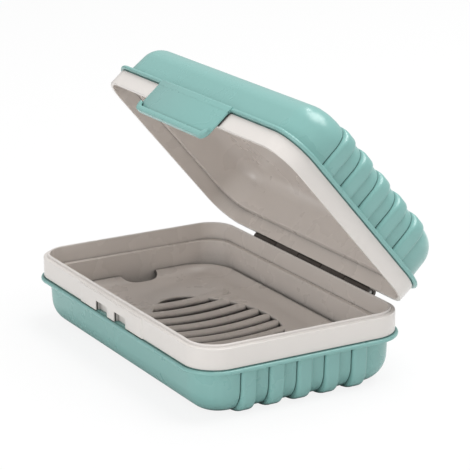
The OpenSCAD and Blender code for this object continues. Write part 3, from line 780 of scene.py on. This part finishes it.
LID_H, LID_SEAT, REBATE, LID_AIR = 22.0, 5.9, 1.05, 0.15
LID_MOUTH = BASE_H + LID_AIR
LID_PLAN, LID_INSET = 13.5, 1.0
LID_ROUND, LID_RIB_ROUND = 8.0, 5.5
STEP_IN, STEP_AIR = 0.85, 0.05
WALL_LOW = LID_SEAT + REBATE


def lid_inset(distance, height):
    """A drafted wall's distance in from the band, at a height above the lid's mouth."""
    return distance + (height - WALL_LOW) * DRAFT


def lid_loops(line, ends=()):
    """The loops of a line that is drawn in heights above the lid's mouth."""
    return [round_box(inset, LID_MOUTH + up, plan, ends=ends) for inset, up, plan in line]


lid_inside = soften([
    (CAP_IN, LID_H - WALL, LID_PLAN, 0),
    (lid_inset(LID_INSET + WALL, LID_H - WALL), LID_H - WALL, LID_PLAN, LID_ROUND - WALL),
    (LID_INSET + WALL, WALL_LOW, LID_PLAN, 0)])[1:]
lid_bead = soften([
    (LID_INSET + WALL, WALL_LOW, LID_PLAN, 0),
    (STEP_IN, WALL_LOW, BAND_PLAN, 0),
    (STEP_IN, LID_SEAT, BAND_PLAN, 0),
    (CREASE, LID_SEAT, BAND_PLAN, 0),
    (CREASE, LID_SEAT + CREASE, BAND_PLAN, 0),
    (-CREASE / 2, LID_SEAT + CREASE, BAND_PLAN, 0),
    (-BEAD_OUT, LID_SEAT, BAND_PLAN, BEAD_ROUND),
    (-BEAD_OUT, LID_SEAT + BEAD_H, BAND_PLAN, BEAD_ROUND),
    (0.3, LID_SEAT + BEAD_H, BAND_PLAN, 0),
    (lid_inset(LID_INSET, LID_SEAT + BEAD_H), LID_SEAT + BEAD_H, LID_PLAN, BEAD_ROOT),
    (lid_inset(LID_INSET, LID_H - 5), LID_H - 5, LID_PLAN, 0)])[1:-1]
lid_outside = soften([
    (lid_inset(LID_INSET, LID_H - 12), LID_H - 12, LID_PLAN, 0),
    (lid_inset(LID_INSET, LID_H), LID_H, LID_PLAN, LID_ROUND),
    (CAP_IN, LID_H, LID_PLAN, 0)], turn=5)[:-1]
lid_shell = skin("lid_shell_pan", lid_loops(lid_inside + lid_bead + lid_outside, rib_edges()))
ribbed(lid_shell, lambda z: LID_MOUTH + LID_H - z, HALF_LEN - LID_INSET, LID_H - WALL_LOW, LID_ROUND,
       LID_RIB_ROUND, LID_H - LID_SEAT - BEAD_H - 0.01)
lid_shell.data.transform(OPENED)
plain_finish(lid_shell, teal, "lid")
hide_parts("lid_shell")

# LID TUB
# The taupe inner tub of the lid: the inner half of its rim, a ledge on which the shell seats, and a
# well with a flat crown, all drafted so that it leaves its mould.

LID_LEDGE, RIM_T, BAND_T, LID_WELL_ROUND = 5.3, 1.3, 0.65, 5.0
LID_TUB_IN, LID_TUB_TOP = LID_INSET + WALL + TUB_GAP, LID_H - WALL - TUB_GAP
LID_WELL, CROWN_IN = LID_TUB_IN + TUB_WALL, LID_TUB_TOP - TUB_WALL
lid_tub_line = soften([
    (CAP_IN, CROWN_IN, LID_PLAN, 0),
    (LID_WELL + (CROWN_IN - LID_LEDGE) * DRAFT, CROWN_IN, LID_PLAN, LID_WELL_ROUND),
    (LID_WELL, LID_LEDGE, LID_PLAN, LEDGE_EDGE),
    (RIM_T + 0.25, LID_LEDGE, BAND_PLAN, 0),
    (RIM_T + 0.23, LID_LEDGE + LEDGE_CREASE, BAND_PLAN, 0),
    (RIM_T + 0.05, LID_LEDGE + LEDGE_CREASE, BAND_PLAN, 0),
    (RIM_T, 0, BAND_PLAN, 0.15),
    (BAND_T, 0, BAND_PLAN, 0),
    (BAND_T, LID_SEAT, BAND_PLAN, 0),
    (STEP_IN + STEP_AIR, LID_SEAT, BAND_PLAN, 0),
    (STEP_IN + STEP_AIR, WALL_LOW - STEP_AIR, BAND_PLAN, 0),
    (LID_TUB_IN, WALL_LOW - STEP_AIR, LID_PLAN, 0),
    (lid_inset(LID_TUB_IN, LID_TUB_TOP), LID_TUB_TOP, LID_PLAN, LID_ROUND - WALL - TUB_GAP),
    (CAP_IN, LID_TUB_TOP, LID_PLAN, 0)])[1:-1]
lid_tub = skin("lid_tub", lid_loops(lid_tub_line))
cut_away(lid_tub, knuckle_hollows(0))
lid_tub.data.transform(OPENED)
plain_finish(lid_tub, taupe, "lid")
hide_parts("lid_liner")

# LID BAND
# The off-white band of the lid, moulded round the tub's rim in the same plastic as the base's, with
# hollows at the back for the base's knuckles.

lid_band_line = soften([
    (BAND_T, LID_SEAT, BAND_PLAN, 0),
    (BAND_T, 0, BAND_PLAN, 0),
    (0, 0, BAND_PLAN, 0.2),
    (0, LID_SEAT, BAND_PLAN, 0.25),
    (BAND_T, LID_SEAT, BAND_PLAN, 0)])[:-1]
lid_band = skin("lid_band_ring", lid_loops(lid_band_line), capped=False)
cut_away(lid_band, knuckle_hollows(0))
lid_band.data.transform(OPENED)
plain_finish(lid_band, stone, "lid")
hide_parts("lid_band")

# LATCH TONGUE
# The flexing tongue in one with the lid's shell: a root pad on the bead, a thin blade over the bands,
# two lugs behind and a turned-up lip in front for the finger, which runs round both corners.

TONGUE_W, TONGUE_IN, TONGUE_T, TONGUE_CORNER = 46.0, 0.6, 0.85, 3.0
TONGUE_FACE = TONGUE_IN + TONGUE_T
TONGUE_TIP, TONGUE_TOP = SEAT_Z + 0.4 - LID_MOUTH, LID_SEAT - 0.3
CORNER_X, CORNER_UP = TONGUE_W / 2 - TONGUE_CORNER, TONGUE_TIP + TONGUE_CORNER


def on_latch(points):
    """Places on the latch side, from (x, distance out of the band, height above the lid's mouth)."""
    return [swung((x, -HALF_DEP - out, LID_MOUTH + up)) for x, out, up in points]


def across(points, *places):
    """The loops of a section of (distance out, height) that runs along X between two places."""
    return [on_latch([(x, out, up) for out, up in points]) for x in places]


def tongue_outline():
    """The blade's outline in its face, as (x, up): down one side, round the tip and up the other."""
    right = [(TONGUE_W / 2, TONGUE_TOP - TONGUE_T / 2)]
    right += arc(TONGUE_CORNER, range(0, -91, -9), CORNER_X, CORNER_UP)
    return right + [(-x, up) for x, up in reversed(right)]


def shrunk(outline, by):
    """The outline drawn in by a distance at its sides and its tip."""
    drawn = []
    reach = (TONGUE_CORNER - by) / TONGUE_CORNER
    for x, up in outline:
        if up >= CORNER_UP - 1e-6:
            drawn.append((x - math.copysign(by, x), up))
        else:
            cx = math.copysign(CORNER_X, x)
            drawn.append((cx + (x - cx) * reach, CORNER_UP + (up - CORNER_UP) * reach))
    return drawn


blade_rows = [(0.25, TONGUE_IN), (0, TONGUE_IN + 0.25), (0, TONGUE_FACE - 0.25),
              (0.08, TONGUE_FACE - 0.08), (0.25, TONGUE_FACE)]
blade = skin("tongue_blade", [on_latch([(x, out, up) for x, up in shrunk(tongue_outline(), by)])
                              for by, out in blade_rows])
plain_finish(blade, teal, "latch")
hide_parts("latch_tongue")

LIP_OUTER, LIP_WALL, LIP_HIGH = 2.45, 0.6, 2.0


def lip_path():
    """Where the finger lip runs: (x, up, normal x, normal up, share of its full height)."""
    right = [(TONGUE_W / 2, CORNER_UP + rise, 1, 0, share)
             for rise, share in ((0.7, 0.15), (0.5, 0.5), (0.2, 0.8))]
    right += [(CORNER_X + TONGUE_CORNER * nx, CORNER_UP + TONGUE_CORNER * nup, nx, nup, 1)
              for nx, nup in arc(1, range(0, -91, -9))]
    return right + [(-x, up, -nx, nup, share) for x, up, nx, nup, share in reversed(right)]


def lip_section(share):
    """The lip's section as (distance in from the tongue's edge, distance out of the band)."""
    high = LIP_HIGH * share
    wall = LIP_OUTER - LIP_WALL
    tip, shoulder = max(high, 0.42), max(high - 0.06, 0.4)
    return [(0.3, TONGUE_FACE - 0.5), (0.05, TONGUE_FACE - 0.3), (0, TONGUE_FACE),
            (0, LIP_OUTER - 0.3), (0.09, LIP_OUTER - 0.09), (0.3, LIP_OUTER),
            (max(high - 0.2, 0.35), LIP_OUTER), (shoulder, LIP_OUTER - 0.07), (tip, LIP_OUTER - 0.22),
            (tip, wall + 0.18), (shoulder, wall + 0.05), (max(high - 0.2, 0.38), wall),
            (0.62, wall), (0.5, wall - 0.12), (0.5, TONGUE_FACE + 0.12), (0.62, TONGUE_FACE - 0.1),
            (0.62, TONGUE_FACE - 0.5)]


finger_lip = skin("finger_lip", [on_latch([(x - nx * inward, out, up - nup * inward)
                                           for inward, out in lip_section(share)])
                                 for x, up, nx, nup, share in lip_path()])
plain_finish(finger_lip, teal, "latch")

ROOT_R, ROOT_AIR = TONGUE_T / 2, 0.05
ROOT_OUT, ROOT_UP = TONGUE_IN + ROOT_R, TONGUE_TOP - ROOT_R
root = arc(ROOT_R, range(-30, 211, 10), ROOT_OUT, ROOT_UP)
hinge_root = skin("tongue_root", across(root, 0.2 - TONGUE_W / 2, TONGUE_W / 2 - 0.2))
plain_finish(hinge_root, teal, "latch")

hollow = arc(ROOT_R + ROOT_AIR, range(180, 0, -10), ROOT_OUT, ROOT_UP)
pad_face = soften([(TONGUE_FACE, ROOT_UP + 0.06, 0, 0), (TONGUE_FACE, LID_SEAT + BEAD_H, 0, 0.5),
                   (-0.3, LID_SEAT + BEAD_H, 0, 0)])
pad_section = ([(-0.3, LID_SEAT), (TONGUE_IN - 0.1, LID_SEAT)] + hollow
               + [(out, up) for out, up, _ in pad_face])
pad = skin("tongue_pad", [on_latch([(x, out * narrow, up) for out, up in pad_section])
                          for x, narrow in ((-TONGUE_W / 2, 0.97), (0.1 - TONGUE_W / 2, 1),
                                            (TONGUE_W / 2 - 0.1, 1), (TONGUE_W / 2, 0.97))])
plain_finish(pad, teal, "lid")

LUG_GAP = 0.4
LUG_BACK, LUG_CATCH = LUG_GAP - POCKET_D, SEAT_Z + POCKET_H - LID_MOUTH - LUG_GAP
lug_side = [(TONGUE_IN + 0.2, LUG_CATCH), (LUG_BACK + 0.15, LUG_CATCH), (LUG_BACK, LUG_CATCH - 0.15),
            (LUG_BACK, LUG_CATCH - 0.45), (LUG_BACK + 0.15, LUG_CATCH - 0.7),
            (TONGUE_IN, TONGUE_TIP + 0.4), (TONGUE_IN + 0.2, TONGUE_TIP + 0.4)]
for side, name in ((-1, "lug_left"), (1, "lug_right")):
    start = pocket_start(side)
    lug = skin(name, across(lug_side, start + LUG_GAP, start + POCKET_W - LUG_GAP))
    plain_finish(lug, teal, "latch")

# CAMERA AND STUDIO
# The photograph's own viewpoint, a pale floor that fades to white and soft light from above, from the
# side and low in front, with a small lamp behind for the glint on the lid's corner.

AZIMUTH, ELEVATION, ROLL = math.radians(60.318), math.radians(16.865), math.radians(-0.428)
LOOK_AT, DISTANCE = (-39.622, 31.843, 24.5), 743.674
FRAME_PX, FOCAL_PX, MIDDLE_PX = 470, 2104.57, (236.328, 233.665)
SENSOR = 36
back = Vector((math.sin(AZIMUTH) * math.cos(ELEVATION), -math.cos(AZIMUTH) * math.cos(ELEVATION),
               math.sin(ELEVATION)))
right = Vector((math.cos(AZIMUTH), math.sin(AZIMUTH), 0))
up = back.cross(right)
right, up = (right * math.cos(ROLL) + up * math.sin(ROLL), up * math.cos(ROLL) - right * math.sin(ROLL))
turned = Matrix((right, up, back)).transposed().to_4x4()
lens = bpy.data.cameras.new("camera")
lens.sensor_width = SENSOR
lens.lens = FOCAL_PX / FRAME_PX * SENSOR
lens.shift_x = -(MIDDLE_PX[0] - FRAME_PX / 2) / FRAME_PX
lens.shift_y = -(FRAME_PX / 2 - MIDDLE_PX[1]) / FRAME_PX
lens.clip_start, lens.clip_end = 0.05, 20
camera = bpy.data.objects.new("camera", lens)
bpy.context.scene.collection.objects.link(camera)
camera.matrix_world = Matrix.Translation(Vector(LOOK_AT) * MM + back * DISTANCE * MM) @ turned
bpy.context.scene.camera = camera

FLOOR_HALF, FLOOR_GLOW, SKY_LIGHT = 6, 0.86, 0.5
floor_mesh = bmesh.new()
bmesh.ops.create_grid(floor_mesh, x_segments=1, y_segments=1, size=FLOOR_HALF)
floor = stand("floor", floor_mesh)
paper = bpy.data.materials.new("white_paper")
paper.use_nodes = True
nodes, link = paper.node_tree.nodes, paper.node_tree.links.new
paper_face = nodes["Principled BSDF"]
paper_face.inputs["Base Color"].default_value = (0.76, 0.76, 0.76, 1)
paper_face.inputs["Roughness"].default_value = 0.9
glow = add_node(nodes, "ShaderNodeEmission", {"Strength": 1.0})
path = nodes.new("ShaderNodeLightPath")
share = add_node(nodes, "ShaderNodeMath", operation="MULTIPLY")
share.inputs[1].default_value = FLOOR_GLOW
blend = nodes.new("ShaderNodeMixShader")
link(path.outputs["Is Camera Ray"], share.inputs[0])
link(share.outputs[0], blend.inputs["Fac"])
link(paper_face.outputs["BSDF"], blend.inputs[1])
link(glow.outputs["Emission"], blend.inputs[2])
link(blend.outputs[0], nodes["Material Output"].inputs["Surface"])
floor.data.materials.append(paper)

world = bpy.data.worlds.new("studio")
bpy.context.scene.world = world
world.use_nodes = True
nodes, link = world.node_tree.nodes, world.node_tree.links.new
sky = nodes["Background"]
sky.inputs["Color"].default_value = (1, 1, 1, 1)
seen = nodes.new("ShaderNodeLightPath")
either = add_node(nodes, "ShaderNodeMath", operation="MAXIMUM")
strength = add_node(nodes, "ShaderNodeMapRange", {"To Min": SKY_LIGHT, "To Max": 1.0})
link(seen.outputs["Is Camera Ray"], either.inputs[0])
link(seen.outputs["Is Transmission Ray"], either.inputs[1])
link(either.outputs[0], strength.inputs["Value"])
link(strength.outputs["Result"], sky.inputs["Strength"])


def soft_light(name, place, aim, size, watts):
    """A square soft box at a place, turned to a point."""
    lamp = bpy.data.lights.new(name, "AREA")
    lamp.size = size
    lamp.energy = watts
    thing = bpy.data.objects.new(name, lamp)
    bpy.context.scene.collection.objects.link(thing)
    thing.location = place
    thing.rotation_euler = (Vector(aim) - Vector(place)).to_track_quat("-Z", "Y").to_euler()


soft_light("above", place=(0.1, 0.35, 1.0), aim=(0, 0, 0.03), size=0.7, watts=11)
soft_light("beside", place=(0.85, -0.45, 0.45), aim=(0, 0, 0.04), size=0.6, watts=1)
soft_light("low", place=(0.35, -1.0, 0.2), aim=(0, 0, 0.05), size=0.5, watts=3.6)
soft_light("glint", place=(-0.55, 0.44, 1.03), aim=(0, 0, 0.08), size=0.12, watts=1.2)

bpy.context.scene.view_settings.view_transform = "Standard"
